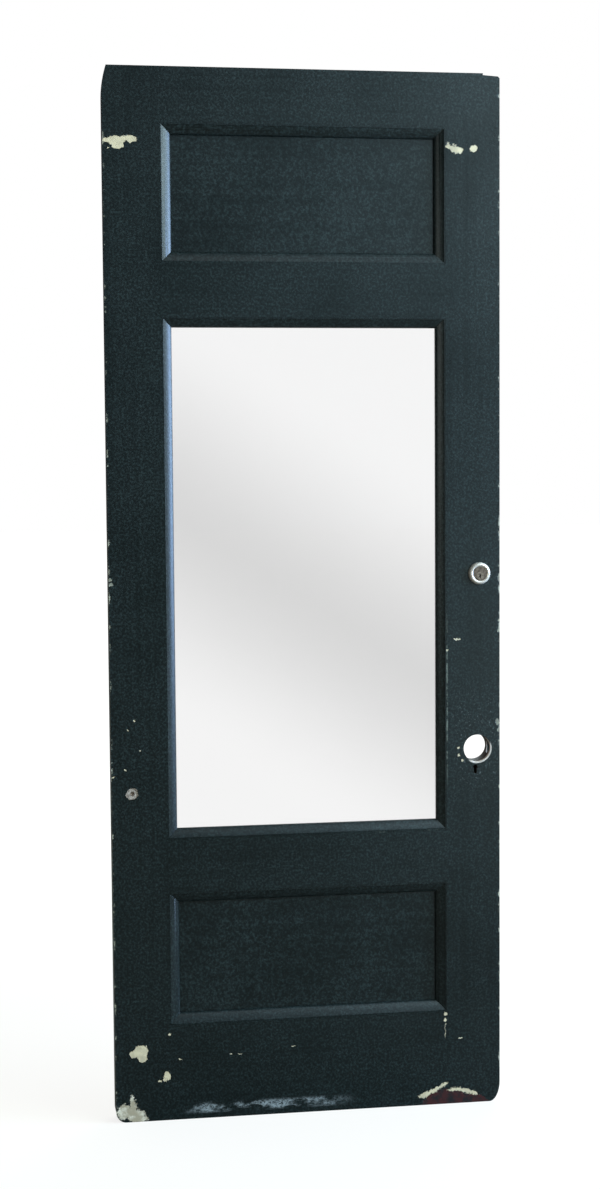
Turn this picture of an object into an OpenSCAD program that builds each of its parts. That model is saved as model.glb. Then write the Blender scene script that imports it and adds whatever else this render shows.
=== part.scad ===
// Front door leaf of wood: two stiles and four rails, a flat panel above and below a tall
// glazed light, mitred mouldings planted in every opening, and a night-latch cylinder.
// The outside faces -Y, the hinge stile is at -X, and Z is up.
// The origin is the middle of the bottom edge, halfway through the thickness. Sizes in mm.

/* [Leaf] */
// Width of the leaf
door_w = 762; // [680:1:860]
// Height of the leaf
door_h = 2013; // [1960:1:2110]
// Thickness of stiles and rails
door_t = 44.5; // [40:0.5:54]
// Width worn off the bottom corner of the hinge stile
hinge_foot_w = 20; // [4:1:30]
// Height worn off the bottom corner of the hinge stile
hinge_foot_h = 22; // [4:1:40]
// Width worn off the bottom corner of the lock stile
lock_foot_w = 21; // [4:1:30]
// Height worn off the bottom corner of the lock stile
lock_foot_h = 40; // [4:1:50]
// Width worn off the top corner of the hinge stile
hinge_head_w = 8; // [2:0.5:12]
// Height worn off the top corner of the hinge stile
hinge_head_h = 58; // [20:1:80]
// Width of the low end of the lock stile's head
lock_head_w = 33; // [15:1:50]
// Step down to that low end
lock_head_step = 3.4; // [0.5:0.1:4.5]
// How low that end is beside the corner
lock_head_h = 5.4; // [4.6:0.2:8]
// Slant across that corner
lock_head_slant = 3.5; // [1:0.5:8]

/* [Stiles and rails] */
// Face width of each stile
stile_w = 107; // [98:1:125]
// Face height of the top rail
top_rail_h = 104; // [92:1:125]
// Face height of the rail below the top panel
frieze_rail_h = 103; // [92:1:125]
// Face height of the rail below the glass
lock_rail_h = 105; // [92:1:125]
// Face height of the bottom rail
bottom_rail_h = 187; // [165:1:240]
// Height of the opening for the top panel
top_panel_h = 259; // [200:1:300]
// Height of the opening for the bottom panel
bottom_panel_h = 259; // [200:1:300]

/* [Joinery] */
// Length of each rail tenon
tenon_l = 78; // [60:1:84]
// Thickness of the tenons
tenon_t = 14; // [10:0.5:16]
// Tenon set back from each edge of its rail
tenon_set = 18; // [16:1:24]
// Extra setback of the top tenon below the head of the door
head_set = 14; // [6:1:20]
// Space between the two tenons of the bottom rail
tenon_space = 26; // [16:1:40]
// Glue line round each tenon
glue_gap = 0.1; // [0.05:0.05:0.2]
// Free length left at the end of each mortise
mortise_spare = 2; // [1:0.5:4]
// Thickness of the flat panels
panel_t = 14; // [10:0.5:16]
// How far the panel edges run into their grooves
panel_tongue = 10; // [7:0.5:11]
// Depth of the panel grooves
groove_d = 12; // [12:0.5:14]
// Clearance on each face of a panel in its groove
groove_gap = 0.15; // [0.05:0.05:0.3]

/* [Mouldings] */
// Width of the mouldings round the panels
moulding_w = 20.5; // [16:0.5:26]
// Width of the mouldings round the glass
glass_moulding_w = 19; // [16:0.5:26]
// Flat left along the outer edge of a moulding
fillet_w = 2.5; // [1.5:0.5:4]
// Step down from that flat to the curve
quirk_h = 1.4; // [0.6:0.2:2.4]
// Lip left at the inner edge of a moulding
toe_h = 2.2; // [1.4:0.2:4]
// How full the curve of a moulding is, from a plain bevel at 0 to a quarter ellipse at 1
fullness = 0.5; // [0:0.05:1]
// How far the mouldings lie below the faces of the leaf
moulding_set = 0.5; // [0:0.1:1.5]
// Width of the glazing beads on the inside
bead_w = 17; // [14:0.5:22]

/* [Glass] */
// Thickness of the glass
glass_t = 4; // [3:0.5:6]
// Space round the edge of the glass
glass_gap = 3; // [2:0.5:5]
// Thickness of the putty bed in front of the glass
putty_t = 1.5; // [1:0.25:3]
// Putty held back from the sight line
putty_back = 3; // [1:0.5:6]
// Length of the two blocks that carry the glass
block_l = 60; // [40:1:90]

/* [Hinge edge] */
// Middle of the top hinge below the head of the door
hinge_drop = 150; // [130:1:180]
// Middle of the bottom hinge above the foot of the door
hinge_rise = 262; // [240:1:330]
// Spacing of the outer two hinge screws
outer_pitch = 76; // [68:1:80]
// Spacing of the inner two hinge screws
inner_pitch = 26; // [20:1:34]
// Distance of the inner hinge screws from the outside face
inner_screw_y = 17; // [14:0.5:20]
// Distance of the outer hinge screws from the outside face
outer_screw_y = 31; // [26:0.5:33]
// Radius of the hinge screw holes
hinge_screw_r = 2; // [1.5:0.1:2.5]
// Depth of the hinge screw holes
hinge_screw_d = 32; // [20:1:40]

/* [Old hole] */
// Distance of the old hole from the hinge edge
old_hole_x = 39.5; // [28:0.5:50]
// Height of the old hole
old_hole_z = 641; // [600:1:680]
// Radius of the old hole
old_hole_r = 11; // [8:0.5:13]
// Depth of the old hole
old_hole_d = 12; // [12:1:16]
// Thickness of the wooden plug in it
old_plug_t = 11; // [6:0.5:11.5]
// Clearance round that plug
old_plug_gap = 0.2; // [0.1:0.05:0.3]
// Radius of the screw hole in that plug
old_pilot_r = 4.5; // [2:0.5:6]

/* [Lock edge] */
// Distance of the knob bore from the lock edge
knob_backset = 45.5; // [44:0.5:60]
// Height of the knob bore
knob_z = 709; // [690:1:760]
// Radius of the knob bore
knob_r = 27; // [25:0.5:28]
// Radius of the latch bore in the edge
latch_r = 12.7; // [11:0.1:13]
// Width of the recess for the latch plate
plate_w = 25.4; // [22:0.2:28]
// Height of the recess for the latch plate
plate_h = 57.2; // [54:0.2:64]
// Depth of the recess for the latch plate
plate_d = 2.5; // [1.5:0.25:3.5]
// Spacing of the two latch plate screws
plate_pitch = 41.3; // [38:0.1:45]
// Radius of the latch plate screw holes
plate_screw_r = 1.6; // [1.2:0.1:2]
// Depth of the latch plate screw holes
plate_screw_d = 14; // [10:0.5:16]
// Distance of the keyhole from the lock edge
key_backset = 49; // [46:0.5:60]
// Wood left between the knob bore and the keyhole
key_web = 5; // [4:0.5:8]
// Radius of the round part of the keyhole
key_r = 4.5; // [4:0.25:6]
// Width of the slot of the keyhole
key_slot_w = 6; // [5:0.25:7]
// Length of the keyhole from top to bottom
key_l = 18; // [16:0.5:24]

/* [Lock cylinder] */
// Distance of the cylinder from the lock edge
cylinder_backset = 41; // [38:0.5:60]
// Height of the cylinder
cylinder_z = 1053; // [1000:1:1120]
// Radius of the hole for the cylinder
cylinder_hole_r = 15.5; // [15:0.25:17]
// Radius of the collar against the door
collar_r = 21.5; // [20:0.25:24]
// Radius of the collar at its front rim
collar_rim_r = 16.5; // [16:0.25:18]
// Slope down from the rim of the collar to its recess
collar_lip = 1.2; // [0.6:0.1:1.6]
// How far the collar stands out
collar_h = 9; // [7:0.5:12]
// Straight edge of the collar next to the door
collar_edge = 1.5; // [1:0.25:3]
// Depth of the collar's front recess
collar_recess = 5; // [4.5:0.25:6]
// Radius of the cylinder head
head_r = 14.2; // [13.9:0.1:14.6]
// Thickness of the cylinder head
head_t = 3.6; // [3:0.1:4.2]
// Radius of the cylinder body
shell_r = 13.3; // [13:0.1:13.5]
// Length of the cylinder body behind its head
shell_l = 32; // [28:0.5:34]
// Clearance round the cylinder in its collar
collar_gap = 0.3; // [0.2:0.05:0.4]
// Distance of the plug below the middle of the cylinder
plug_drop = 4.5; // [4:0.1:5]
// Radius of the plug
plug_r = 6.4; // [6:0.1:6.6]
// Running clearance round the plug
plug_gap = 0.06; // [0.03:0.01:0.1]
// Radius of the plug's front shoulder
shoulder_r = 7.4; // [7.2:0.1:7.6]
// Thickness of that shoulder
shoulder_t = 1.6; // [1.2:0.1:2]
// How far the plug stands out of the cylinder face
plug_proud = 0.4; // [0.2:0.1:0.6]
// End clearance of the plug
end_gap = 0.1; // [0.05:0.05:0.2]
// Width of the keyway
keyway_w = 2; // [1.6:0.1:2.4]
// Height of the keyway
keyway_h = 8.4; // [7.6:0.1:9]
// Depth of the keyway
keyway_d = 24; // [18:1:26]
// How far the ward of the keyway steps sideways
ward_step = 0.9; // [0.5:0.1:1.2]
// Height of that ward
ward_h = 2.4; // [1.6:0.1:3]
// Radius of the disc that keeps the plug in
keeper_r = 8.4; // [8:0.1:8.6]
// Thickness of that disc
keeper_t = 2.6; // [2:0.1:3.2]
// Width of the tailpiece
tail_w = 7; // [6:0.25:8]
// Thickness of the tailpiece
tail_t = 1.6; // [1.2:0.1:2]
// How far the tailpiece stands out inside the door
tail_out = 18; // [10:1:26]
// Clearance of the tailpiece in its slot
tail_gap = 0.05; // [0.03:0.01:0.1]

/* [Clamp plate] */
// Width of the clamp plate on the inside face
clamp_w = 34; // [32:0.5:40]
// Height of the clamp plate
clamp_h = 64; // [56:1:72]
// Thickness of the clamp plate
clamp_t = 2.5; // [2:0.25:3]
// Corner radius of the clamp plate
clamp_corner_r = 6; // [4:0.5:10]
// Radius of the hole for the tailpiece
clamp_hole_r = 5.5; // [5:0.1:6]
// Sideways distance of the clamp screws from the middle
clamp_screw_x = 9.6; // [9.4:0.1:9.8]
// Height of the clamp screws above the middle of the cylinder
clamp_screw_z = 2; // [1.5:0.1:2.5]
// Radius of the clamp screws
clamp_screw_r = 2.1; // [1.8:0.1:2.2]
// Length of thread in the cylinder
clamp_thread_l = 12; // [8:1:14]
// Radius of the screw heads
clamp_head_r = 4.4; // [4:0.1:4.8]
// Height of the screw heads
clamp_head_h = 2.6; // [2.2:0.1:3]
// Clearance round the clamp screws
clamp_screw_gap = 0.1; // [0.05:0.05:0.2]
// Width of the slots in the screw heads
driver_slot_w = 1.2; // [1:0.1:1.5]
// Depth of the slots in the screw heads
driver_slot_d = 1.2; // [0.8:0.1:1.4]

/* [Hidden] */
$fn = 64;
curve_steps = 12;
over = 1;
half_t = door_t / 2;
edge_x = door_w / 2;
opening_w = door_w - 2 * stile_w;
half_opening = opening_w / 2;
bottom_panel_z = bottom_rail_h;
lock_rail_z = bottom_panel_z + bottom_panel_h;
light_z = lock_rail_z + lock_rail_h;
top_rail_z = door_h - top_rail_h;
top_panel_z = top_rail_z - top_panel_h;
frieze_rail_z = top_panel_z - frieze_rail_h;
light_h = frieze_rail_z - light_z;
groove_w = panel_t + 2 * groove_gap;
panel_y = panel_t / 2;
moulding_h = half_t - panel_y - moulding_set;
glass_y = putty_t - panel_y;
glass_back_y = glass_y + glass_t;
bead_h = half_t - glass_back_y - moulding_set;
hinge_zs = [door_h - hinge_drop, (door_h - hinge_drop + hinge_rise) / 2, hinge_rise];
knob_x = edge_x - knob_backset;
key_x = edge_x - key_backset;
key_top_z = knob_z - knob_r - key_web;
cylinder_x = edge_x - cylinder_backset;
ledge_z = collar_h - collar_recess;
face_z = ledge_z + head_t;
shell_end_z = ledge_z - shell_l;
keeper_z = shell_end_z - end_gap;
tail_end_z = -door_t - tail_out;
SIDES = ["bottom", "right", "top", "left"];

// Tenons of each rail as [bottom, top] heights above the foot of the door
bottom_tenon_h = (bottom_rail_h - 2 * tenon_set - tenon_space) / 2;
bottom_tenons = [
    [tenon_set, tenon_set + bottom_tenon_h],
    [bottom_rail_h - tenon_set - bottom_tenon_h, bottom_rail_h - tenon_set]
];
lock_tenons = [[lock_rail_z + tenon_set, light_z - tenon_set]];
frieze_tenons = [[frieze_rail_z + tenon_set, top_panel_z - tenon_set]];
top_tenons = [[top_rail_z + tenon_set, door_h - tenon_set - head_set]];
all_tenons = concat(bottom_tenons, lock_tenons, frieze_tenons, top_tenons);

// A box between two opposite corners
module span(a, b) {
    translate(a)
        cube(b - a);
}

// A hole of radius r along +X from x to x + l
module hole_x(p, r, l) {
    translate(p)
        rotate([0, 90, 0])
            cylinder(r = r, h = l);
}

// A hole of radius r through the thickness
module hole_y(x, z, r) {
    translate([x, half_t + over, z])
        rotate([90, 0, 0])
            cylinder(r = r, h = door_t + 2 * over);
}

// A flat shape at (x, z) carried through the thickness; sx turns it towards -X or +X
module through(x, z, sx) {
    translate([x, half_t + over, z])
        rotate([90, 0, 0])
            scale([sx, 1, 1])
                linear_extrude(door_t + 2 * over)
                    children();
}

// Waste outside a bottom corner worn round over a width w and a height h
module foot_waste(w, h) {
    difference() {
        translate([-over, -over])
            square([w + over, h + over]);
        translate([w, h])
            scale([w, h])
                circle(1);
    }
}

// Waste outside the hinge stile's top corner, a long shallow curve
function hinge_head_point(t) = [hinge_head_w * t * t, hinge_head_h * (t - 1)];
module hinge_head_waste() {
    polygon(concat(
        [[-over, -hinge_head_h]],
        [for (i = [0:curve_steps]) hinge_head_point(i / curve_steps)],
        [[hinge_head_w, over], [-over, over]]
    ));
}

// Waste over the low end of the lock stile's head, a step and a slope to a slanted corner
module lock_head_waste() {
    corner_z = -lock_head_h - lock_head_slant;
    polygon([
        [lock_head_w, over],
        [lock_head_w, -lock_head_step],
        [lock_head_slant, -lock_head_h],
        [0, corner_z],
        [-over, corner_z],
        [-over, over]
    ]);
}

// Grooves and mortises in the inner edge of a stile; s is the side of the door, -1 or 1
module stile_joints(s) {
    inner = s * half_opening;
    groove = [inner, inner + s * groove_d];
    mortise = [inner - s * over, inner + s * (tenon_l + mortise_spare)];
    for (z = [bottom_panel_z, top_panel_z]) {
        h = z == bottom_panel_z ? bottom_panel_h : top_panel_h;
        span(
            [min(groove) - (s > 0 ? over : 0), -groove_w / 2, z - groove_d],
            [max(groove) + (s < 0 ? over : 0), groove_w / 2, z + h + groove_d]
        );
    }
    for (t = all_tenons)
        span(
            [min(mortise), -tenon_t / 2 - glue_gap, t[0] - glue_gap],
            [max(mortise), tenon_t / 2 + glue_gap, t[1] + glue_gap]
        );
}

// The four screw holes of one hinge in the edge of the hinge stile
module hinge_holes(z) {
    start_x = -edge_x - over;
    depth = hinge_screw_d + over;
    for (s = [-1, 1]) {
        hole_x([start_x, outer_screw_y - half_t, z + s * outer_pitch / 2], hinge_screw_r, depth);
        hole_x([start_x, inner_screw_y - half_t, z + s * inner_pitch / 2], hinge_screw_r, depth);
    }
}

module hinge_stile() {
    color("DarkSlateGray")
        difference() {
            span([-edge_x, -half_t, 0], [-half_opening, half_t, door_h]);
            stile_joints(-1);
            through(-edge_x, 0, 1)
                foot_waste(hinge_foot_w, hinge_foot_h);
            through(-edge_x, door_h, 1)
                hinge_head_waste();
            for (z = hinge_zs)
                hinge_holes(z);
            translate([old_hole_x - edge_x, old_hole_d - half_t, old_hole_z])
                rotate([90, 0, 0])
                    cylinder(r = old_hole_r, h = old_hole_d + over);
        }
}

// Keyhole through the thickness: a round top and a slot with a round foot
module keyhole() {
    foot_z = key_top_z - key_l + key_slot_w / 2;
    round_z = key_top_z - key_r;
    hole_y(key_x, round_z, key_r);
    hole_y(key_x, foot_z, key_slot_w / 2);
    span(
        [key_x - key_slot_w / 2, -half_t - over, foot_z],
        [key_x + key_slot_w / 2, half_t + over, round_z]
    );
}

module lock_stile() {
    color("DarkSlateGray")
        difference() {
            span([half_opening, -half_t, 0], [edge_x, half_t, door_h]);
            stile_joints(1);
            through(edge_x, 0, -1)
                foot_waste(lock_foot_w, lock_foot_h);
            through(edge_x, door_h, -1)
                lock_head_waste();
            hole_y(knob_x, knob_z, knob_r);
            hole_x([knob_x, 0, knob_z], latch_r, knob_backset + over);
            span(
                [edge_x - plate_d, -plate_w / 2, knob_z - plate_h / 2],
                [edge_x + over, plate_w / 2, knob_z + plate_h / 2]
            );
            for (s = [-1, 1])
                hole_x(
                    [edge_x - plate_d - plate_screw_d, 0, knob_z + s * plate_pitch / 2],
                    plate_screw_r,
                    plate_screw_d + over
                );
            keyhole();
            hole_y(cylinder_x, cylinder_z, cylinder_hole_r);
        }
}

// A rail from z0 to z1 with its tenons, grooved below or above where a panel meets it
module rail(z0, z1, tenons, groove_below, groove_above) {
    reach = half_opening + tenon_l;
    color("DarkSlateGray")
        difference() {
            union() {
                span([-half_opening, -half_t, z0], [half_opening, half_t, z1]);
                for (t = tenons)
                    span([-reach, -tenon_t / 2, t[0]], [reach, tenon_t / 2, t[1]]);
            }
            if (groove_below)
                span(
                    [-half_opening - over, -groove_w / 2, z0 - over],
                    [half_opening + over, groove_w / 2, z0 + groove_d]
                );
            if (groove_above)
                span(
                    [-half_opening - over, -groove_w / 2, z1 - groove_d],
                    [half_opening + over, groove_w / 2, z1 + over]
                );
        }
}

module top_rail() {
    rail(top_rail_z, door_h, top_tenons, true, false);
}

module frieze_rail() {
    rail(frieze_rail_z, top_panel_z, frieze_tenons, false, true);
}

module lock_rail() {
    rail(lock_rail_z, light_z, lock_tenons, true, false);
}

module bottom_rail() {
    rail(0, bottom_rail_h, bottom_tenons, false, true);
}

// A flat panel for an opening of height h that starts at z
module flat_panel(z, h) {
    reach = half_opening + panel_tongue;
    color("DarkSlateGray")
        span([-reach, -panel_y, z - panel_tongue], [reach, panel_y, z + h + panel_tongue]);
}

module top_panel() {
    flat_panel(top_panel_z, top_panel_h);
}

module bottom_panel() {
    flat_panel(bottom_panel_z, bottom_panel_h);
}

// Outline of a moulding: flat fillet, quirk, swelling ovolo and toe; u runs into the opening
function ovolo_rise(t) = fullness * cos(90 * t) + (1 - fullness) * (1 - sin(90 * t));
function ovolo_point(t, w, h) = [
    fillet_w + (w - fillet_w) * sin(90 * t),
    toe_h + (h - quirk_h - toe_h) * ovolo_rise(t)
];
function moulding_outline(w, h) = concat(
    [[0, 0], [w, 0]],
    [for (i = [curve_steps : -1 : 0]) ovolo_point(i / curve_steps, w, h)],
    [[fillet_w, h], [0, h]]
);

// A flat strip with mitred ends: l long on its outer edge, w wide, h thick
module mitred_strip(l, w, h) {
    linear_extrude(h)
        polygon([[0, 0], [l, 0], [l - w, w], [w, w]]);
}

// One mitred length of moulding
module mitred_length(l, w, h) {
    intersection() {
        rotate([90, 0, 90])
            linear_extrude(l)
                polygon(moulding_outline(w, h));
        mitred_strip(l, w, h);
    }
}

// Length of one side of an opening of height h; sides count bottom, right, top, left
function side_length(side, h) = side % 2 == 0 ? opening_w : h;

// Children laid along one side of an opening of height h that starts at z
module at_opening_side(side, z, h, base_y) {
    translate([0, base_y, z + h / 2])
        rotate([90, 0, 0])
            rotate([0, 0, 90 * side])
                translate([-side_length(side, h) / 2, -side_length(side + 1, h) / 2, 0])
                    children();
}

// One side of the moulding round an opening
module opening_side(side, z, h, w, depth, base_y) {
    color("DimGray")
        at_opening_side(side, z, h, base_y)
            mitred_length(side_length(side, h), w, depth);
}

module top_panel_front_moulding(side) {
    opening_side(side, top_panel_z, top_panel_h, moulding_w, moulding_h, -panel_y);
}

module top_panel_back_moulding(side) {
    mirror([0, 1, 0])
        top_panel_front_moulding(side);
}

module bottom_panel_front_moulding(side) {
    opening_side(side, bottom_panel_z, bottom_panel_h, moulding_w, moulding_h, -panel_y);
}

module bottom_panel_back_moulding(side) {
    mirror([0, 1, 0])
        bottom_panel_front_moulding(side);
}

module glass_moulding(side) {
    opening_side(side, light_z, light_h, glass_moulding_w, moulding_h, -panel_y);
}

module glass_bead(side) {
    mirror([0, 1, 0])
        opening_side(side, light_z, light_h, bead_w, bead_h, -glass_back_y);
}

module glass_pane() {
    color("LightGray", 0.4)
        span(
            [glass_gap - half_opening, glass_y, light_z + glass_gap],
            [half_opening - glass_gap, glass_back_y, frieze_rail_z - glass_gap]
        );
}

// One side of the putty bed between the glass and its mouldings
module glass_putty(side) {
    color("Gray")
        at_opening_side(side, light_z, light_h, glass_y)
            mitred_strip(side_length(side, light_h), glass_moulding_w - putty_back, putty_t);
}

// Two blocks under the glass, a quarter of its width in from each side
module setting_blocks() {
    color("Peru")
        for (s = [-1, 1])
            translate([s * opening_w / 4, 0, 0])
                span([-block_l / 2, glass_y, light_z], [block_l / 2, glass_back_y, light_z + glass_gap]);
}

module old_hole_plug() {
    color("BurlyWood")
        translate([old_hole_x - edge_x, old_hole_d - half_t, old_hole_z])
            rotate([90, 0, 0])
                difference() {
                    cylinder(r = old_hole_r - old_plug_gap, h = old_plug_t);
                    translate([0, 0, old_plug_t / 2])
                        cylinder(r = old_pilot_r, h = old_plug_t);
                }
}

// Frame of the lock cylinder: +Z points out of the front face, +Y is up
module at_cylinder() {
    translate([cylinder_x, -half_t, cylinder_z])
        rotate([90, 0, 0])
            children();
}

// Rounded front of the collar, from its straight edge to its rim
function collar_point(t) = [
    collar_rim_r + (collar_r - collar_rim_r) * cos(90 * t),
    collar_edge + (collar_h - collar_edge) * sin(90 * t)
];

module cylinder_collar() {
    color("Silver")
        at_cylinder()
            rotate_extrude()
                polygon(concat(
                    [[shell_r + collar_gap, 0], [collar_r, 0]],
                    [for (i = [0:curve_steps]) collar_point(i / curve_steps)],
                    [[head_r + collar_gap, collar_h - collar_lip], [head_r + collar_gap, ledge_z]],
                    [[shell_r + collar_gap, ledge_z]]
                ));
}

// Children at both clamp screws
module at_clamp_screws() {
    for (s = [-1, 1])
        translate([s * clamp_screw_x, clamp_screw_z, 0])
            children();
}

module cylinder_shell() {
    color("DarkKhaki")
        at_cylinder()
            difference() {
                union() {
                    translate([0, 0, ledge_z])
                        cylinder(r = head_r, h = head_t);
                    translate([0, 0, shell_end_z])
                        cylinder(r = shell_r, h = shell_l + head_t);
                }
                translate([0, -plug_drop, shell_end_z - over])
                    cylinder(r = plug_r + plug_gap, h = shell_l + head_t + 2 * over);
                translate([0, -plug_drop, face_z - shoulder_t])
                    cylinder(r = shoulder_r + plug_gap, h = shoulder_t + over);
                translate([0, 0, shell_end_z - over])
                    at_clamp_screws()
                        cylinder(r = clamp_screw_r + clamp_screw_gap, h = clamp_thread_l + 2 * over);
            }
}

// Outline of the keyway: an upright slot with a step to each side
module keyway() {
    square([keyway_w, keyway_h], center = true);
    translate([ward_step, ward_h / 2])
        square([keyway_w, ward_h], center = true);
    translate([-ward_step, -ward_h / 2])
        square([keyway_w, ward_h], center = true);
}

module cylinder_plug() {
    front_z = face_z + plug_proud;
    shoulder_z = face_z - shoulder_t + end_gap;
    color("Gold")
        at_cylinder()
            translate([0, -plug_drop, 0])
                difference() {
                    union() {
                        translate([0, 0, shoulder_z])
                            cylinder(r = shoulder_r, h = front_z - shoulder_z);
                        translate([0, 0, keeper_z])
                            cylinder(r = plug_r, h = front_z - keeper_z);
                    }
                    translate([0, 0, front_z - keyway_d])
                        linear_extrude(keyway_d + over)
                            keyway();
                }
}

module plug_keeper() {
    slot = [tail_t + 2 * tail_gap, tail_w + 2 * tail_gap, keeper_t + 2 * over];
    color("Goldenrod")
        at_cylinder()
            translate([0, -plug_drop, keeper_z - keeper_t])
                difference() {
                    cylinder(r = keeper_r, h = keeper_t);
                    translate([0, 0, keeper_t / 2])
                        cube(slot, center = true);
                }
}

module tailpiece() {
    color("LightSteelBlue")
        at_cylinder()
            translate([0, -plug_drop, 0])
                span([-tail_t / 2, -tail_w / 2, tail_end_z], [tail_t / 2, tail_w / 2, keeper_z]);
}

module clamp_plate() {
    corner_x = clamp_w / 2 - clamp_corner_r;
    corner_y = clamp_h / 2 - clamp_corner_r;
    color("Silver")
        at_cylinder()
            translate([0, 0, -door_t - clamp_t])
                linear_extrude(clamp_t)
                    difference() {
                        union() {
                            square([clamp_w, 2 * corner_y], center = true);
                            square([2 * corner_x, clamp_h], center = true);
                            for (x = [-corner_x, corner_x])
                                for (y = [-corner_y, corner_y])
                                    translate([x, y])
                                        circle(clamp_corner_r);
                        }
                        translate([0, -plug_drop])
                            circle(clamp_hole_r);
                        at_clamp_screws()
                            circle(clamp_screw_r + clamp_screw_gap);
                    }
}

module clamp_screws() {
    seat_z = -door_t - clamp_t;
    tip_z = shell_end_z + clamp_thread_l;
    crown_r = clamp_head_r - clamp_head_h / 2;
    color("LightSteelBlue")
        at_cylinder()
            at_clamp_screws()
                difference() {
                    union() {
                        translate([0, 0, seat_z - clamp_head_h])
                            cylinder(r1 = crown_r, r2 = clamp_head_r, h = clamp_head_h);
                        translate([0, 0, seat_z - clamp_head_h / 2])
                            cylinder(r = clamp_screw_r, h = tip_z - seat_z + clamp_head_h / 2);
                    }
                    translate([0, 0, seat_z - clamp_head_h])
                        cube([driver_slot_w, 2 * clamp_head_r + over, 2 * driver_slot_d], center = true);
                }
}

hinge_stile();
lock_stile();
top_rail();
frieze_rail();
lock_rail();
bottom_rail();
top_panel();
bottom_panel();
for (i = [0:3]) {
    top_panel_front_moulding(i);
    top_panel_back_moulding(i);
    bottom_panel_front_moulding(i);
    bottom_panel_back_moulding(i);
    glass_moulding(i);
    glass_bead(i);
    glass_putty(i);
}
glass_pane();
setting_blocks();
old_hole_plug();
cylinder_collar();
cylinder_shell();
cylinder_plug();
plug_keeper();
tailpiece();
clamp_plate();
clamp_screws();
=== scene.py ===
import math

import bpy
from mathutils import Matrix, Vector


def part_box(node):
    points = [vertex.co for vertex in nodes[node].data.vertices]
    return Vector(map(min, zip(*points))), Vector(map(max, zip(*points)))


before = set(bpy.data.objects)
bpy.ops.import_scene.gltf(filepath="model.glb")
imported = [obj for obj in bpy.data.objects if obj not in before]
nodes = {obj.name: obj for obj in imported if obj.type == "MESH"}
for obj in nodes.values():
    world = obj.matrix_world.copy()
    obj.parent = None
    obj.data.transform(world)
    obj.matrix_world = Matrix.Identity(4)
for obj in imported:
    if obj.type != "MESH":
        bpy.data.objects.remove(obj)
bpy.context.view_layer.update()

# Places on the door in metres, taken from the solids
hinge_low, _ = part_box("hinge_stile")
lock_low, lock_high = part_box("lock_stile")
plug_low, plug_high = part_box("old_hole_plug")
FRONT_Y = hinge_low.y
RIGHT_X = lock_high.x
INNER_X = lock_low.x
RAIL_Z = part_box("lock_rail")[1].z
OLD_X = (plug_low.x + plug_high.x) / 2
OLD_Z = (plug_low.z + plug_high.z) / 2

# Holes in the lock stile, in metres
BORE_X, BORE_Z, BORE_R = 0.3355, 0.709, 0.027
KEY_X, KEY_Z = 0.332, 0.668

# Where a mark fades out and where it is full, in metres
FACE_FADE = (FRONT_Y + 0.004, FRONT_Y + 0.001)
ARRIS_FADE = (0.0042, 0.0006)
LINE_FADE = (0.0024, 0.0008)
RIM_FADE = (0.0302, 0.0284)
BORE_FADE = (BORE_R + 0.0006, BORE_R + 0.0002)
KEY_FADE = (0.0072, 0.0066)
OLD_FADE = (0.0119, 0.0111)
LINE_INSET = 0.0012
MM = 1000

# Colours of the paint, of what shows where it is lost, and of painted shade and a painted highlight
PAINT_DARK = (0.0004, 0.0034, 0.0031, 1)
PAINT_BLOOM = (0.0230, 0.0360, 0.0340, 1)
PAINT_DUST = (0.13, 0.15, 0.15, 1)
# Painted highlight: grey for light caught by the worn lower edge above the foot
FOOT_HIGHLIGHT_GREY = (0.42, 0.44, 0.43, 1)
HANDLED_GREY = (0.30, 0.32, 0.30, 1)
LINE_GREY = (0.34, 0.35, 0.27, 1)
CREAM_CLEAN, CREAM_DIRTY = (0.90, 0.71, 0.44, 1), (0.62, 0.485, 0.305, 1)
BARE_CLEAN, BARE_DIRTY = (0.97, 0.83, 0.63, 1), (0.54, 0.425, 0.28, 1)
BROWN_RED, BROWN_DARK = (0.052, 0.003, 0.001, 1), (0.004, 0.002, 0.001, 1)
EDGE_CLEAN, EDGE_DIRTY = (0.52, 0.48, 0.35, 1), (0.24, 0.215, 0.155, 1)
WOOD_LOW, WOOD_HIGH = (0.66, 0.50, 0.39, 1), (0.86, 0.72, 0.60, 1)
OLD_LOW, OLD_HIGH = (0.44, 0.33, 0.25, 1), (0.62, 0.49, 0.38, 1)
# Painted shade: the dark wood deep in the knob bore and keyhole stands for shade in the recess
BORE_SHADE_LOW, BORE_SHADE_HIGH = (0.030, 0.016, 0.010, 1), (0.075, 0.042, 0.026, 1)
WHITE = (1, 1, 1, 1)

# Roughness where the paint is lost, how far a loss lies below the paint, and the paint's relief in metres
LOSS_ROUGH = (0.72, 0.72, 0.72, 1)
LOSS_DEPTH = -1.0
PAINT_BUMP, PAINT_RELIEF = 0.5, 0.0005

# Painted reflection on the glass: a grey band in its colour that falls from left to right, at this slope and
# height
REFLECTION_BAND_WAY, REFLECTION_BAND_LEVEL = (0.639, 0.0, 1.0), 1.008
PAINTED_REFLECTION_GREY, GLASS_CLEAR = (0.70, 0.70, 0.70, 1), (0.93, 0.93, 0.93, 1)
GLASS_IOR = 1.45

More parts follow.
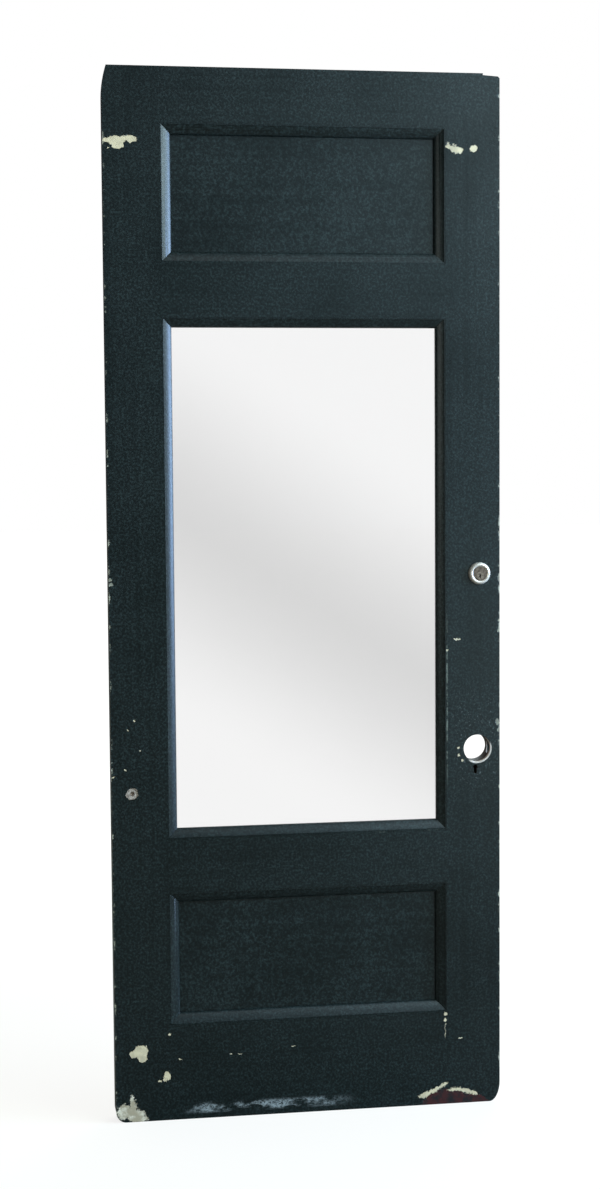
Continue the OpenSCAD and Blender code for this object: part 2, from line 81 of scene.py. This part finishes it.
# Paint losses on the outside face, in millimetres: x, z, half width, half height, turn in degrees
CREAM = [
    (-357, 1874, 17, 8.5, 0), (-351, 1867, 12, 8, 10), (-334, 1877, 17, 7, 4), (-373, 1875, 8, 4.5, 0),
    (-371, 1860, 2.6, 1.5, 0),
    (329, 1870, 7.5, 7, 0),
    (-331, 137, 13, 14, 0), (-345, 134, 9, 7, 0), (-328, 125, 8, 9, 0),
    (-281, 87, 7, 9, 0), (-286, 79, 4, 3, 0), (-295, 78, 3.5, 2, 0),
    (270.5, 181, 3.3, 3.6, 0), (270.5, 168.5, 3.2, 3.6, 0), (270.6, 148, 0.65, 15, 0), (300, 131, 5, 0.9, 0),
    (296, 925, 7, 1.6, -12), (276, 904, 2, 2, 0), (297.5, 710, 3, 2.2, 0), (299.5, 696, 2.2, 2, 0),
    (306, 686, 2.4, 2, 0), (-335, 781, 1.4, 1.4, 0), (-349, 764, 2, 1.8, 0), (-326, 725, 1.6, 1.4, 0),
    (-353, 687, 2, 1.6, 0), (-378, 674, 1.6, 1.6, 0), (-275, 168, 2, 2, 0), (-256, 120, 3.5, 1, 0),
    (-157, 124, 3, 0.9, 0), (-139, 124, 3.5, 0.9, 0), (-34, 133, 2.5, 0.8, 0),
]
TORN = [
    (297, 1867, 12, 6.5, -10), (284, 1872, 10, 4, -20), (281, 1877, 6, 1.8, -35), (292, 1876, 5, 1.6, -50),
    (229, 20.5, 13, 5.2, 22), (247, 28.5, 15, 4.0, 24), (264, 37, 13, 3.0, 33),
    (290, 28, 15, 3.6, 0), (309, 25, 14, 4.2, -12), (326, 20, 12, 3.2, -22),
]
KEPT = [(-336, 1868, 5.5, 5, 0)]
BARE = [(-366, 21, 13, 15, -20), (-347, 25, 7, 28, 6), (-342, 13, 17, 11, 12), (-333, 6, 14, 5, 0)]
BROWN = [(272, -10, 52, 40, 4), (318, -10, 46, 29, -6)]
EDGE = [
    (-383, 1874, 6, 9, 0), (-383, 1119, 4, 10, 0), (-380, 1052, 6, 4, 0), (-377, 1043, 5, 3, 0),
    (-383, 1016, 4, 14, 0), (-383, 960, 3, 8, 0), (-383, 674, 3, 9, 0), (-382, 560, 3, 7, 0),
    (382, 1044, 5, 9, 0), (381, 960, 4, 3, 0), (381, 940, 4, 3, 0), (377, 760, 3.5, 7, 0), (379, 743, 3, 3, 0),
    (382, 86, 4, 9, 0), (382, 1972, 4, 5, 0), (382, 628, 3, 9, 0), (382, 420, 3, 8, 0), (383, 250, 3, 10, 0),
]


class Tree:
    """Small helper that adds shader nodes and links them."""

    def __init__(self, tree):
        self.tree = tree
        tree.nodes.clear()

    def new(self, kind, **settings):
        node = self.tree.nodes.new(kind)
        for key, value in settings.items():
            setattr(node, key, value)
        return node

    def link(self, source, target):
        self.tree.links.new(source, target)

    def feed(self, socket, value):
        if hasattr(value, "is_output"):
            self.link(value, socket)
        else:
            socket.default_value = value

    def operate(self, node, values):
        for socket, value in zip(node.inputs, values):
            self.feed(socket, value)
        return node

    def math(self, operation, *values):
        return self.operate(self.new("ShaderNodeMath", operation=operation), values).outputs[0]

    def vector(self, operation, *values):
        node = self.operate(self.new("ShaderNodeVectorMath", operation=operation), values)
        return node.outputs["Value"] if operation in ("LENGTH", "DOT_PRODUCT") else node.outputs[0]

    def product(self, first, *others):
        for other in others:
            first = self.math("MULTIPLY", first, other)
        return first

    def largest(self, first, *others):
        for other in others:
            first = self.math("MAXIMUM", first, other)
        return first

    def step(self, value, low, high):
        """Smooth rise from 0 at low to 1 at high; low may be the larger."""
        node = self.new("ShaderNodeMapRange", interpolation_type="SMOOTHSTEP")
        return self.operate(node, (value, low, high)).outputs[0]

    def band(self, value, start, full, fade, end):
        """1 from full to fade, falling smoothly to 0 at start and end."""
        return self.product(self.step(value, start, full), self.step(value, end, fade))

    def line(self, value, place, outer, inner):
        """1 within inner of the place, 0 beyond outer."""
        return self.step(self.math("ABSOLUTE", self.math("SUBTRACT", value, place)), outer, inner)

    def noise(self, vector, scale, detail=3.0, rough=0.55):
        node = self.new("ShaderNodeTexNoise")
        self.feed(node.inputs["Vector"], vector)
        node.inputs["Scale"].default_value = scale
        node.inputs["Detail"].default_value = detail
        node.inputs["Roughness"].default_value = rough
        return node.outputs["Fac"], node.outputs["Color"]

    def warp(self, vector, color, reach):
        """Shift a place sideways and up or down by a noise colour."""
        centred = self.vector("SUBTRACT", color, (0.5, 0.5, 0.5))
        return self.vector("MULTIPLY_ADD", centred, (reach, 0.0, reach), vector)

    def reach(self, vector, x, z, scale_x=1, scale_z=1):
        """Scaled distance from a line through the door at x and z."""
        local = self.vector("SUBTRACT", vector, (x, 0, z))
        return self.vector("LENGTH", self.vector("MULTIPLY", local, (scale_x, 0, scale_z)))

    def mix(self, factor, a, b):
        node = self.new("ShaderNodeMix", data_type="RGBA")
        self.feed(node.inputs["Factor"], factor)
        self.feed(node.inputs[6], a)
        self.feed(node.inputs[7], b)
        return node.outputs[2]

    def position(self):
        return self.new("ShaderNodeTexCoord").outputs["Object"]

    def split(self, vector):
        node = self.new("ShaderNodeSeparateXYZ")
        self.link(vector, node.inputs[0])
        return node.outputs[0], node.outputs[1], node.outputs[2]

    def bump(self, height, strength, distance):
        node = self.new("ShaderNodeBump")
        node.inputs["Strength"].default_value = strength
        node.inputs["Distance"].default_value = distance
        self.link(height, node.inputs["Height"])
        return node.outputs["Normal"]

    def principled(self, **values):
        shader = self.new("ShaderNodeBsdfPrincipled")
        for key, value in values.items():
            self.feed(shader.inputs[key.replace("_", " ")], value)
        out = self.new("ShaderNodeOutputMaterial")
        self.link(shader.outputs[0], out.inputs[0])
        return shader


def material(name):
    made = bpy.data.materials.new(name)
    made.use_nodes = True
    return made, Tree(made.node_tree)


def nearest(t, warped, marks, depth):
    """Least scaled distance from a list of marks; below 1 is inside one."""
    best = None
    for x, z, half_w, half_h, turn in marks:
        local = t.vector("SUBTRACT", warped, (x / MM, FRONT_Y, z / MM))
        if turn:
            spin = t.new("ShaderNodeVectorRotate", rotation_type="Y_AXIS")
            t.link(local, spin.inputs["Vector"])
            spin.inputs["Angle"].default_value = math.radians(turn)
            local = spin.outputs[0]
        local = t.vector("MULTIPLY", local, (MM / half_w, MM / depth, MM / half_h))
        far = t.vector("LENGTH", local)
        best = far if best is None else t.math("MINIMUM", best, far)
    return best


def film(t, p, along):
    """Colour, roughness and height of the paint itself; along is the way of the brush, x or z."""
    stretch = (1.2, 60.0, 60.0) if along == "x" else (60.0, 60.0, 1.2)
    brushed = t.vector("MULTIPLY", p, stretch)
    brush, _ = t.noise(brushed, 6.0, 4.0, 0.6)
    grain, _ = t.noise(brushed, 1.4, 3.0, 0.5)
    cloud, _ = t.noise(p, 5.0, 4.0, 0.6)
    orange, _ = t.noise(p, 130.0, 4.0, 0.75)
    dust, _ = t.noise(p, 900.0, 2.0, 0.6)
    bloom, _ = t.noise(p, 230.0, 3.0, 0.7)
    tone = t.math("ADD", t.math("MULTIPLY", cloud, 0.6), t.math("MULTIPLY", grain, 0.4))
    bloom = t.product(t.step(bloom, 0.42, 0.70), t.step(tone, 0.20, 0.60))
    speck = t.product(t.step(dust, 0.62, 0.76), t.step(cloud, 0.30, 0.60), 0.40)
    color = t.mix(speck, t.mix(bloom, PAINT_DARK, PAINT_BLOOM), PAINT_DUST)
    rough = t.math("MULTIPLY_ADD", cloud, 0.16, 0.20)
    rough = t.math("MULTIPLY_ADD", grain, 0.08, rough)
    rough = t.math("MULTIPLY_ADD", t.math("SUBTRACT", orange, 0.5), 0.10, rough)
    height = t.math("MULTIPLY_ADD", brush, 0.12, t.math("MULTIPLY", orange, 0.90))
    height = t.math("MULTIPLY_ADD", grain, 0.12, height)
    return color, rough, height


def wear(t, p, color, rough, height):
    """Adds the chips and worn edges, a painted highlight with scuff roughness above the foot, and the bare wood
    of the holes with painted shade further in.
    """
    x, y, z = t.split(p)
    on_face = t.step(y, *FACE_FADE)
    rub, _ = t.noise(p, 70.0, 5.0, 0.7)
    grime, _ = t.noise(p, 60.0, 4.0, 0.6)
    fibre, _ = t.noise(t.vector("MULTIPLY", p, (300.0, 300.0, 14.0)), 1.0, 4.0, 0.6)

    # Chips with smooth and with torn outlines
    _, wide = t.noise(p, 95.0, 2.0, 0.5)
    _, fine = t.noise(p, 420.0, 3.0, 0.6)
    _, torn = t.noise(p, 190.0, 5.0, 0.75)
    warped = t.warp(t.warp(p, wide, 0.008), fine, 0.0060)
    ragged = t.warp(p, torn, 0.026)
    frayed = t.warp(p, torn, 0.019)
    cream = t.step(nearest(t, warped, CREAM, 6), 1.06, 0.94)
    cream = t.largest(cream, t.step(nearest(t, frayed, TORN, 6), 1.08, 0.92))
    cream = t.product(cream, t.step(nearest(t, warped, KEPT, 6), 0.9, 1.1))
    bare = t.step(nearest(t, ragged, BARE, 14), 1.06, 0.94)
    brown = t.step(nearest(t, frayed, BROWN, 8), 1.05, 0.95)

    # Chips and thin broken wear along the long outer arrises
    out = t.math("SUBTRACT", RIGHT_X, t.math("ABSOLUTE", x))
    arris = t.product(t.step(out, *ARRIS_FADE), t.step(y, FRONT_Y + 0.012, FRONT_Y + 0.002))
    edge = t.step(nearest(t, warped, EDGE, 14), 1.08, 0.92)
    edge = t.largest(edge, t.product(arris, t.step(rub, 0.555, 0.64)))

    # Pale broken lines on the arrises beside and below the glass
    beside = t.product(t.line(x, INNER_X + LINE_INSET, *LINE_FADE), t.band(z, 0.62, 0.72, 0.84, 1.02))
    below = t.product(t.line(z, RAIL_Z - LINE_INSET, *LINE_FADE), t.band(x, 0.08, 0.22, 0.270, 0.285))
    beside = t.product(beside, t.step(rub, 0.44, 0.62))
    below = t.product(below, t.step(rub, 0.55, 0.68))
    lined = t.product(t.largest(beside, below), on_face)

    # Painted highlight just above the foot: a grey band where light catches the worn, rounded lower edge, with a
    # rougher surface there
    streak, _ = t.noise(t.vector("MULTIPLY", p, (16.0, 60.0, 40.0)), 1.4, 4.0, 0.65)
    crumb, _ = t.noise(t.vector("MULTIPLY", p, (1.0, 1.0, 1.6)), 210.0, 4.0, 0.8)
    scuff_and_highlight = t.product(t.band(z, 0.008, 0.016, 0.022, 0.034), t.band(x, -0.26, -0.20, 0.0, 0.10))
    scuff_and_highlight = t.product(scuff_and_highlight, t.step(streak, 0.42, 0.58), t.step(crumb, 0.36, 0.60), on_face)

    # Fine handling wear round the knob bore
    scratch, _ = t.noise(t.vector("MULTIPLY", p, (1.0, 1.0, 0.7)), 330.0, 3.0, 0.7)
    handled = t.product(t.step(x, 0.277, 0.300), on_face, t.band(z, 0.590, 0.680, 0.760, 0.860))
    handled = t.product(handled, t.step(scratch, 0.60, 0.70))

    # Bare wood in the holes, pale near the outside; further in, and in the keyhole, a dark colour is painted
    # shade of the recess
    around_bore = t.reach(p, BORE_X, BORE_Z)
    from_bore = t.vector("SUBTRACT", warped, (BORE_X, 0, BORE_Z))
    lower_right = t.vector("DOT_PRODUCT", from_bore, (0.62, 0, -0.78))
    rim_wear = t.product(t.step(around_bore, *RIM_FADE), t.step(lower_right, 0.004, 0.016))
    in_bore = t.step(around_bore, *BORE_FADE)
    in_key = t.step(t.reach(p, KEY_X, KEY_Z, 1, 0.55), *KEY_FADE)
    inner = t.product(t.step(y, FRONT_Y + 0.0004, FRONT_Y + 0.001), t.largest(in_bore, in_key))
    # Painted shade: full deeper in the bore and all through the keyhole, where the recess falls in shade
    bore_shade = t.largest(in_key, t.step(y, FRONT_Y + 0.003, FRONT_Y + 0.013))
    old_far = t.reach(warped, OLD_X, OLD_Z, 0.95, 1.15)
    old = t.product(t.step(old_far, *OLD_FADE), t.step(y, -0.002, -0.006))

    wood = t.mix(fibre, WOOD_LOW, WOOD_HIGH)
    layers = [
        # Painted highlight above the foot
        (t.product(scuff_and_highlight, 0.90), FOOT_HIGHLIGHT_GREY),
        (t.product(handled, 0.45), HANDLED_GREY),
        (t.product(lined, 0.50), LINE_GREY),
        (t.product(edge, 0.85), t.mix(t.step(grime, 0.40, 0.62), EDGE_CLEAN, EDGE_DIRTY)),
        (brown, t.mix(t.step(grime, 0.40, 0.64), BROWN_RED, BROWN_DARK)),
        (bare, t.mix(t.step(grime, 0.38, 0.62), BARE_CLEAN, BARE_DIRTY)),
        (cream, t.mix(t.step(grime, 0.30, 0.75), CREAM_CLEAN, CREAM_DIRTY)),
        (old, t.mix(fibre, OLD_LOW, OLD_HIGH)),
        (rim_wear, wood),
        # Painted shade: the wood of the holes turns dark deeper in
        (inner, t.mix(bore_shade, wood, t.mix(fibre, BORE_SHADE_LOW, BORE_SHADE_HIGH))),
    ]
    for cover, layer in layers:
        color = t.mix(cover, color, layer)
    lost = t.largest(cream, edge, bare, brown, inner, rim_wear)
    rough = t.math("MULTIPLY_ADD", scuff_and_highlight, 0.12, t.mix(lost, rough, LOSS_ROUGH))
    height = t.math("MULTIPLY_ADD", lost, LOSS_DEPTH, height)
    return color, rough, height


def paint(name, along, worn):
    """Old dark gloss paint on wood; where worn is set, with chips and wear, a painted highlight above the foot
    and painted shade in the holes.
    """
    made, t = material(name)
    p = t.position()
    color, rough, height = film(t, p, along)
    if worn:
        color, rough, height = wear(t, p, color, rough, height)
    normal = t.bump(height, PAINT_BUMP, PAINT_RELIEF)
    t.principled(Base_Color=color, Roughness=rough, Normal=normal, Specular_IOR_Level=0.5)
    return made


def glass():
    """Old clear glass with a painted reflection: a soft grey band in its colour from upper left to lower right.
    """
    made, t = material("old_glass")
    p = t.position()
    across = t.vector("DOT_PRODUCT", p, REFLECTION_BAND_WAY)
    far = t.math("ABSOLUTE", t.math("SUBTRACT", across, REFLECTION_BAND_LEVEL))
    cloud, _ = t.noise(p, 3.0, 3.0, 0.5)
    far = t.math("MULTIPLY_ADD", t.math("SUBTRACT", cloud, 0.5), 0.05, far)
    # Painted reflection: greyer glass colour along the band
    color = t.mix(t.step(far, -0.02, 0.40), PAINTED_REFLECTION_GREY, GLASS_CLEAR)
    smear, _ = t.noise(t.vector("MULTIPLY", p, (9.0, 9.0, 3.0)), 2.0, 4.0, 0.6)
    rough = t.math("MULTIPLY", t.step(smear, 0.45, 0.75), 0.03)
    wave, _ = t.noise(p, 7.0, 2.0, 0.5)
    normal = t.bump(wave, 0.25, 0.0006)
    shader = t.principled(Base_Color=color, Roughness=rough, Normal=normal)
    shader.inputs["Transmission Weight"].default_value = 1.0
    shader.inputs["IOR"].default_value = GLASS_IOR
    return made


def plain(name, low, high, scale, rough, stretch=(1, 1, 1), bump=0.2, relief=0.0002, metal=0.0):
    """A two-tone surface with noise in its colour, roughness and height."""
    made, t = material(name)
    p = t.vector("MULTIPLY", t.position(), stretch)
    coarse, _ = t.noise(p, scale, 4.0, 0.6)
    fine, _ = t.noise(p, scale * 6, 3.0, 0.6)
    color = t.mix(t.step(coarse, 0.32, 0.68), low, high)
    rough_low, rough_high = rough
    rough = t.math("MULTIPLY_ADD", t.step(coarse, 0.3, 0.7), rough_high - rough_low, rough_low)
    normal = t.bump(fine, bump, relief)
    shader = t.principled(Base_Color=color, Roughness=rough, Normal=normal)
    shader.inputs["Metallic"].default_value = metal
    return made


paint_up = paint("paint_upright", "z", True)
paint_across = paint("paint_across", "x", True)
trim_up = paint("trim_upright", "z", False)
trim_across = paint("trim_across", "x", False)
old_glass = glass()
putty = plain(
    "putty", low=(0.10, 0.10, 0.09, 1), high=(0.22, 0.20, 0.17, 1), scale=90.0, rough=(0.6, 0.85))
bare_wood = plain(
    "bare_wood", low=(0.58, 0.46, 0.37, 1), high=(0.17, 0.12, 0.09, 1), scale=190.0, rough=(0.55, 0.8),
    stretch=(1, 1, 0.6), bump=0.4)
nickel = plain(
    "nickel", low=(1.0, 0.86, 0.73, 1), high=(0.90, 0.76, 0.63, 1), scale=220.0, rough=(0.24, 0.40),
    bump=0.1, relief=0.0001, metal=0.5)
tarnish = plain(
    "tarnished_brass", low=(0.30, 0.22, 0.17, 1), high=(0.13, 0.095, 0.072, 1), scale=260.0, rough=(0.34, 0.5),
    relief=0.0001, metal=1.0)
key_metal = plain(
    "plug_brass", low=(0.42, 0.32, 0.25, 1), high=(0.20, 0.15, 0.115, 1), scale=300.0, rough=(0.3, 0.46),
    relief=0.0001, metal=1.0)
steel = plain(
    "dull_steel", low=(0.46, 0.46, 0.45, 1), high=(0.30, 0.30, 0.29, 1), scale=150.0, rough=(0.32, 0.5),
    relief=0.0001, metal=1.0)


def dress(name):
    if name in ("hinge_stile", "lock_stile"):
        return paint_up
    if name in ("top_rail", "frieze_rail", "lock_rail", "bottom_rail"):
        return paint_across
    if name in ("top_panel", "bottom_panel"):
        return trim_across
    if "moulding" in name or "bead" in name:
        return trim_up if name.endswith(("left", "right")) else trim_across
    if name == "glass_pane":
        return old_glass
    if name.startswith("glass_putty"):
        return putty
    if name in ("setting_blocks", "old_hole_plug"):
        return bare_wood
    if name == "cylinder_collar":
        return nickel
    if name in ("cylinder_shell", "plug_keeper"):
        return tarnish
    if name == "cylinder_plug":
        return key_metal
    return steel


# Width of the eased arrises, in metres; rails stay sharp so that no pale line shows at their joints
SOFT_EDGE = {paint_up: 0.0008, trim_up: 0.0004, trim_across: 0.0004}
WELD_REACH = 0.00001
EASE_ANGLE = math.radians(35)
for name, obj in nodes.items():
    surface = dress(name)
    obj.data.materials.clear()
    obj.data.materials.append(surface)
    if surface in SOFT_EDGE:
        weld = obj.modifiers.new("weld", "WELD")
        weld.merge_threshold = WELD_REACH
        ease = obj.modifiers.new("eased_edges", "BEVEL")
        ease.width = SOFT_EDGE[surface]
        ease.segments = 2
        ease.limit_method = "ANGLE"
        ease.angle_limit = EASE_ANGLE

# Floor: its top just under the foot, and the glow near the door and far from it, by distance in metres
FLOOR_SIZE, FLOOR_Z = 60, -0.0003
FLOOR_COLOR = (0.180, 0.165, 0.135, 1)
GLOW_NEAR, GLOW_GAIN = 0.82, 0.18
GLOW_RISE = (0.9, 2.6)


def floor_material():
    """White to the camera and through the glass, a little less near the door so that its shadow shows."""
    made, t = material("pale_floor")
    path = t.new("ShaderNodeLightPath")
    lit = t.new("ShaderNodeBsdfDiffuse")
    lit.inputs["Color"].default_value = FLOOR_COLOR
    glow = t.new("ShaderNodeEmission")
    glow.inputs["Color"].default_value = WHITE
    away = t.vector("LENGTH", t.position())
    level = t.math("MULTIPLY_ADD", t.step(away, *GLOW_RISE), GLOW_GAIN, GLOW_NEAR)
    t.feed(glow.inputs["Strength"], t.math("MULTIPLY", path.outputs["Is Camera Ray"], level))
    both = t.new("ShaderNodeAddShader")
    t.link(lit.outputs[0], both.inputs[0])
    t.link(glow.outputs[0], both.inputs[1])
    white = t.new("ShaderNodeEmission")
    white.inputs["Color"].default_value = WHITE
    through = t.new("ShaderNodeMixShader")
    t.link(path.outputs["Is Transmission Ray"], through.inputs[0])
    t.link(both.outputs[0], through.inputs[1])
    t.link(white.outputs[0], through.inputs[2])
    out = t.new("ShaderNodeOutputMaterial")
    t.link(through.outputs[0], out.inputs[0])
    return made


bpy.ops.mesh.primitive_plane_add(size=FLOOR_SIZE, location=(0, 0, FLOOR_Z))
floor = bpy.context.object
floor.name = "floor"
floor.data.materials.append(floor_material())

# Surroundings: the level in front by direction, as stops of a ramp, and what lies behind the door
FRONT_WAY, FRONT_LEVEL = (0.90, -0.30, 0.30), 3.4
FRONT_TINT = (0.76, 1.0, 1.12)
FRONT_STOPS = [(0.0, 0.015), (0.28, 0.02), (0.40, 0.028), (0.50, 0.105), (0.60, 0.28), (0.75, 0.48), (1.0, 0.60)]
BEHIND_PALE = (0.85, 0.86, 0.88, 1)
MIRRORED_DARK, MIRRORED_SIDES = (0.03, 0.035, 0.04, 1), (0.52, 0.60, 0.64, 1)


def studio():
    """White to the camera and through the glass. In front it is brighter to the right, and cool. Behind it is
    pale, but mirrored rays see it dark in the middle, so that the thin hinge edge stays dark."""
    world = bpy.data.worlds.new("studio")
    world.use_nodes = True
    t = Tree(world.node_tree)
    way = t.new("ShaderNodeTexCoord").outputs["Generated"]
    way_x, way_y, _ = t.split(way)
    ramp = t.new("ShaderNodeValToRGB")
    t.link(t.vector("DOT_PRODUCT", way, FRONT_WAY), ramp.inputs[0])
    elements = ramp.color_ramp.elements
    elements[0].position = FRONT_STOPS[0][0]
    elements[1].position = FRONT_STOPS[-1][0]
    for place, _ in FRONT_STOPS[1:-1]:
        elements.new(place)
    for element, (place, value) in zip(elements, FRONT_STOPS):
        element.position = place
        element.color = (*(value * tint for tint in FRONT_TINT), 1)
    front = t.new("ShaderNodeVectorMath", operation="SCALE")
    t.link(ramp.outputs[0], front.inputs[0])
    front.inputs["Scale"].default_value = FRONT_LEVEL
    path = t.new("ShaderNodeLightPath")
    aside = t.step(t.math("ABSOLUTE", t.math("ADD", way_x, 0.10)), 0.35, 0.65)
    gloss = t.mix(aside, MIRRORED_DARK, MIRRORED_SIDES)
    behind = t.mix(path.outputs["Is Glossy Ray"], BEHIND_PALE, gloss)
    around = t.mix(t.step(way_y, -0.02, 0.30), front.outputs[0], behind)
    seen = t.math("MAXIMUM", path.outputs["Is Camera Ray"], path.outputs["Is Transmission Ray"])
    back = t.new("ShaderNodeBackground")
    t.link(t.mix(seen, around, WHITE), back.inputs["Color"])
    back.inputs["Strength"].default_value = 1.0
    out = t.new("ShaderNodeOutputWorld")
    t.link(back.outputs[0], out.inputs[0])
    return world


bpy.context.scene.world = studio()

# Soft lamps: name, place, aim, width and height in metres, power in watts, colour
LAMPS = [
    ("side_window", (2.7, -0.75, 1.50), (0, 0, 1.2), 1.3, 1.8, 138, (0.40, 0.62, 1.0)),
    ("upper_window", (2.1, -1.9, 2.6), (-0.2, 0, 1.75), 1.6, 0.9, 45, (0.68, 0.93, 1.0)),
    ("overhead", (-0.6, -2.6, 4.4), (0, 0, 1.1), 2.6, 2.0, 6, (1.0, 0.98, 0.95)),
    ("left_fill", (-2.3, -2.6, 1.6), (0, 0, 1.2), 1.2, 1.6, 9, (0.90, 1.0, 0.96)),
    ("low_window", (1.35, -2.3, 0.55), (0.3, 0, 0.7), 0.8, 0.9, 3, (0.74, 0.96, 1.0)),
    ("back_window", (1.5, 2.8, 2.0), (0, 0, 1.1), 1.8, 1.8, 60, (0.80, 0.95, 1.0)),
]
for name, place, aim, width, height, power, color in LAMPS:
    data = bpy.data.lights.new(name, "AREA")
    data.shape = "RECTANGLE"
    data.size = width
    data.size_y = height
    data.energy = power
    data.color = color
    lamp = bpy.data.objects.new(name, data)
    bpy.context.scene.collection.objects.link(lamp)
    # Not seen itself or through the glass
    lamp.visible_camera = False
    lamp.visible_transmission = False
    lamp.location = place
    lamp.rotation_euler = (Vector(aim) - Vector(place)).to_track_quat("-Z", "Y").to_euler()

# Camera at the photograph's place: angles in radians, place in metres, lens and sensor in millimetres
YAW, PITCH, ROLL = 0.1542, -0.071, -0.0073
LENS, SENSOR_HEIGHT = 59.25, 36
CAMERA_PLACE = Vector((-0.5911, -3.7121 + FRONT_Y, 1.285))
forward = Vector((math.sin(YAW) * math.cos(PITCH), math.cos(YAW) * math.cos(PITCH), math.sin(PITCH)))
right = Vector((math.cos(YAW), -math.sin(YAW), 0))
up = right.cross(forward)
right_rolled = right * math.cos(ROLL) + up * math.sin(ROLL)
up_rolled = up * math.cos(ROLL) - right * math.sin(ROLL)
camera_data = bpy.data.cameras.new("camera")
camera_data.sensor_fit = "VERTICAL"
camera_data.sensor_height = SENSOR_HEIGHT
camera_data.lens = LENS
camera = bpy.data.objects.new("camera", camera_data)
bpy.context.scene.collection.objects.link(camera)
turn = Matrix((right_rolled, up_rolled, -forward)).transposed().to_4x4()
camera.matrix_world = Matrix.Translation(CAMERA_PLACE) @ turn
bpy.context.scene.camera = camera

bpy.context.scene.view_settings.view_transform = "Standard"
